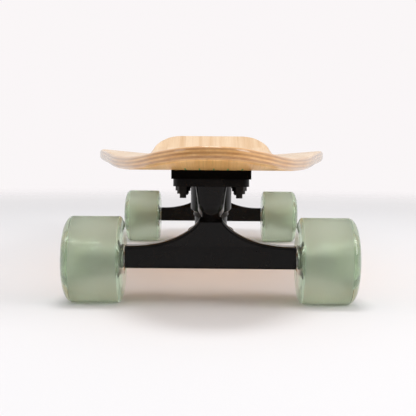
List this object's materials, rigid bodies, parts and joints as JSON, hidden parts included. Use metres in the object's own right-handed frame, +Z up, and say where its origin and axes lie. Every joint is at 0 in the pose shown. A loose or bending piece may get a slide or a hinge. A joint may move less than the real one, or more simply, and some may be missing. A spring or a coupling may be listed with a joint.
{
  "type": "skateboard",
  "caption": "Cruiser skateboard with a bare laminated wood deck, low raised nose, kicktail, black cast steering trucks and wide translucent green wheels.",
  "frame": {"origin": "on the ground below the middle of the board's length and width", "axes": "+X across the board, -Y towards the nose, +Y towards the kicktail, +Z up"},
  "size_m": [0.2226, 0.767, 0.1394],
  "materials": {
    "deck_face_wood": "clear satin lacquer",
    "deck_core_wood": "sealed ply edges",
    "riser_rubber": "matte",
    "truck_paint": "gloss black",
    "cup_plastic": "moulded",
    "bushing_urethane": "smooth urethane",
    "black_steel": "black oxide",
    "bright_steel": "zinc plated",
    "wheel_urethane": "pale green translucent cast urethane, ground tread",
    "bearing_steel": "polished",
    "cage_nylon": "moulded"
  },
  "bodies": {
    "board": {"deck_core": "deck_core_wood", "deck_top_veneer": "deck_face_wood", "deck_bottom_veneer": "deck_face_wood", "front_riser_pad": "riser_rubber", "front_baseplate": "truck_paint", "front_pivot_cup": "cup_plastic", "front_kingpin": "black_steel", "front_kingpin_nut": "black_steel", "front_cup_washers": "black_steel", "front_board_side_bushing": "bushing_urethane", "front_road_side_bushing": "bushing_urethane", "front_mounting_bolts": "black_steel", "front_mounting_nuts": "black_steel", "rear_riser_pad": "riser_rubber", "rear_baseplate": "truck_paint", "rear_pivot_cup": "cup_plastic", "rear_kingpin": "black_steel", "rear_kingpin_nut": "black_steel", "rear_cup_washers": "black_steel", "rear_board_side_bushing": "bushing_urethane", "rear_road_side_bushing": "bushing_urethane", "rear_mounting_bolts": "black_steel", "rear_mounting_nuts": "black_steel"},
    "front_truck": {"front_hanger": "truck_paint", "front_axle": "bright_steel", "front_axle_nuts": "bright_steel", "front_speed_washers": "bright_steel", "front_right_inner_races": "bearing_steel", "front_right_bearing_spacer": "bright_steel", "front_left_inner_races": "bearing_steel", "front_left_bearing_spacer": "bright_steel"},
    "front_right_wheel": {"front_right_tyre": "wheel_urethane", "front_right_outer_races": "bearing_steel", "front_right_bearing_shields": "bearing_steel"},
    "front_right_balls": {"front_right_bearing_balls": "bearing_steel", "front_right_ball_cages": "cage_nylon"},
    "front_left_wheel": {"front_left_tyre": "wheel_urethane", "front_left_outer_races": "bearing_steel", "front_left_bearing_shields": "bearing_steel"},
    "front_left_balls": {"front_left_bearing_balls": "bearing_steel", "front_left_ball_cages": "cage_nylon"},
    "rear_truck": {"rear_hanger": "truck_paint", "rear_axle": "bright_steel", "rear_axle_nuts": "bright_steel", "rear_speed_washers": "bright_steel", "rear_right_inner_races": "bearing_steel", "rear_right_bearing_spacer": "bright_steel", "rear_left_inner_races": "bearing_steel", "rear_left_bearing_spacer": "bright_steel"},
    "rear_right_wheel": {"rear_right_tyre": "wheel_urethane", "rear_right_outer_races": "bearing_steel", "rear_right_bearing_shields": "bearing_steel"},
    "rear_right_balls": {"rear_right_bearing_balls": "bearing_steel", "rear_right_ball_cages": "cage_nylon"},
    "rear_left_wheel": {"rear_left_tyre": "wheel_urethane", "rear_left_outer_races": "bearing_steel", "rear_left_bearing_shields": "bearing_steel"},
    "rear_left_balls": {"rear_left_bearing_balls": "bearing_steel", "rear_left_ball_cages": "cage_nylon"}
  },
  "joints": [
    {"name": "front_steer", "type": "hinge", "parent": "board", "child": "front_truck", "pos_m": [0, -0.2965, 0.076], "axis": [0, -0.8384, 0.545], "range_deg": [-12, 12], "stiffness_Nm_per_rad": 40, "deforming": ["front_board_side_bushing", "front_road_side_bushing"]},
    {"name": "front_right_spin", "type": "hinge", "parent": "front_truck", "child": "front_right_wheel", "pos_m": [0.088, -0.2785, 0.0325], "axis": [1, 0, 0], "continuous": true},
    {"name": "front_right_ball_orbit", "type": "hinge", "parent": "front_truck", "child": "front_right_balls", "pos_m": [0.088, -0.2785, 0.0325], "axis": [1, 0, 0], "continuous": true},
    {"name": "front_left_spin", "type": "hinge", "parent": "front_truck", "child": "front_left_wheel", "pos_m": [-0.088, -0.2785, 0.0325], "axis": [1, 0, 0], "continuous": true},
    {"name": "front_left_ball_orbit", "type": "hinge", "parent": "front_truck", "child": "front_left_balls", "pos_m": [-0.088, -0.2785, 0.0325], "axis": [1, 0, 0], "continuous": true},
    {"name": "rear_steer", "type": "hinge", "parent": "board", "child": "rear_truck", "pos_m": [0, 0.2465, 0.076], "axis": [0, 0.8384, 0.545], "range_deg": [-12, 12], "stiffness_Nm_per_rad": 40, "deforming": ["rear_board_side_bushing", "rear_road_side_bushing"]},
    {"name": "rear_right_spin", "type": "hinge", "parent": "rear_truck", "child": "rear_right_wheel", "pos_m": [0.088, 0.2285, 0.0325], "axis": [1, 0, 0], "continuous": true},
    {"name": "rear_right_ball_orbit", "type": "hinge", "parent": "rear_truck", "child": "rear_right_balls", "pos_m": [0.088, 0.2285, 0.0325], "axis": [1, 0, 0], "continuous": true},
    {"name": "rear_left_spin", "type": "hinge", "parent": "rear_truck", "child": "rear_left_wheel", "pos_m": [-0.088, 0.2285, 0.0325], "axis": [1, 0, 0], "continuous": true},
    {"name": "rear_left_ball_orbit", "type": "hinge", "parent": "rear_truck", "child": "rear_left_balls", "pos_m": [-0.088, 0.2285, 0.0325], "axis": [1, 0, 0], "continuous": true}
  ],
  "couplings": [
    {"joint": "front_right_ball_orbit", "follows": "front_right_spin", "ratio": 0.6323},
    {"joint": "front_left_ball_orbit", "follows": "front_left_spin", "ratio": 0.6323},
    {"joint": "rear_right_ball_orbit", "follows": "rear_right_spin", "ratio": 0.6323},
    {"joint": "rear_left_ball_orbit", "follows": "rear_left_spin", "ratio": 0.6323}
  ]
}
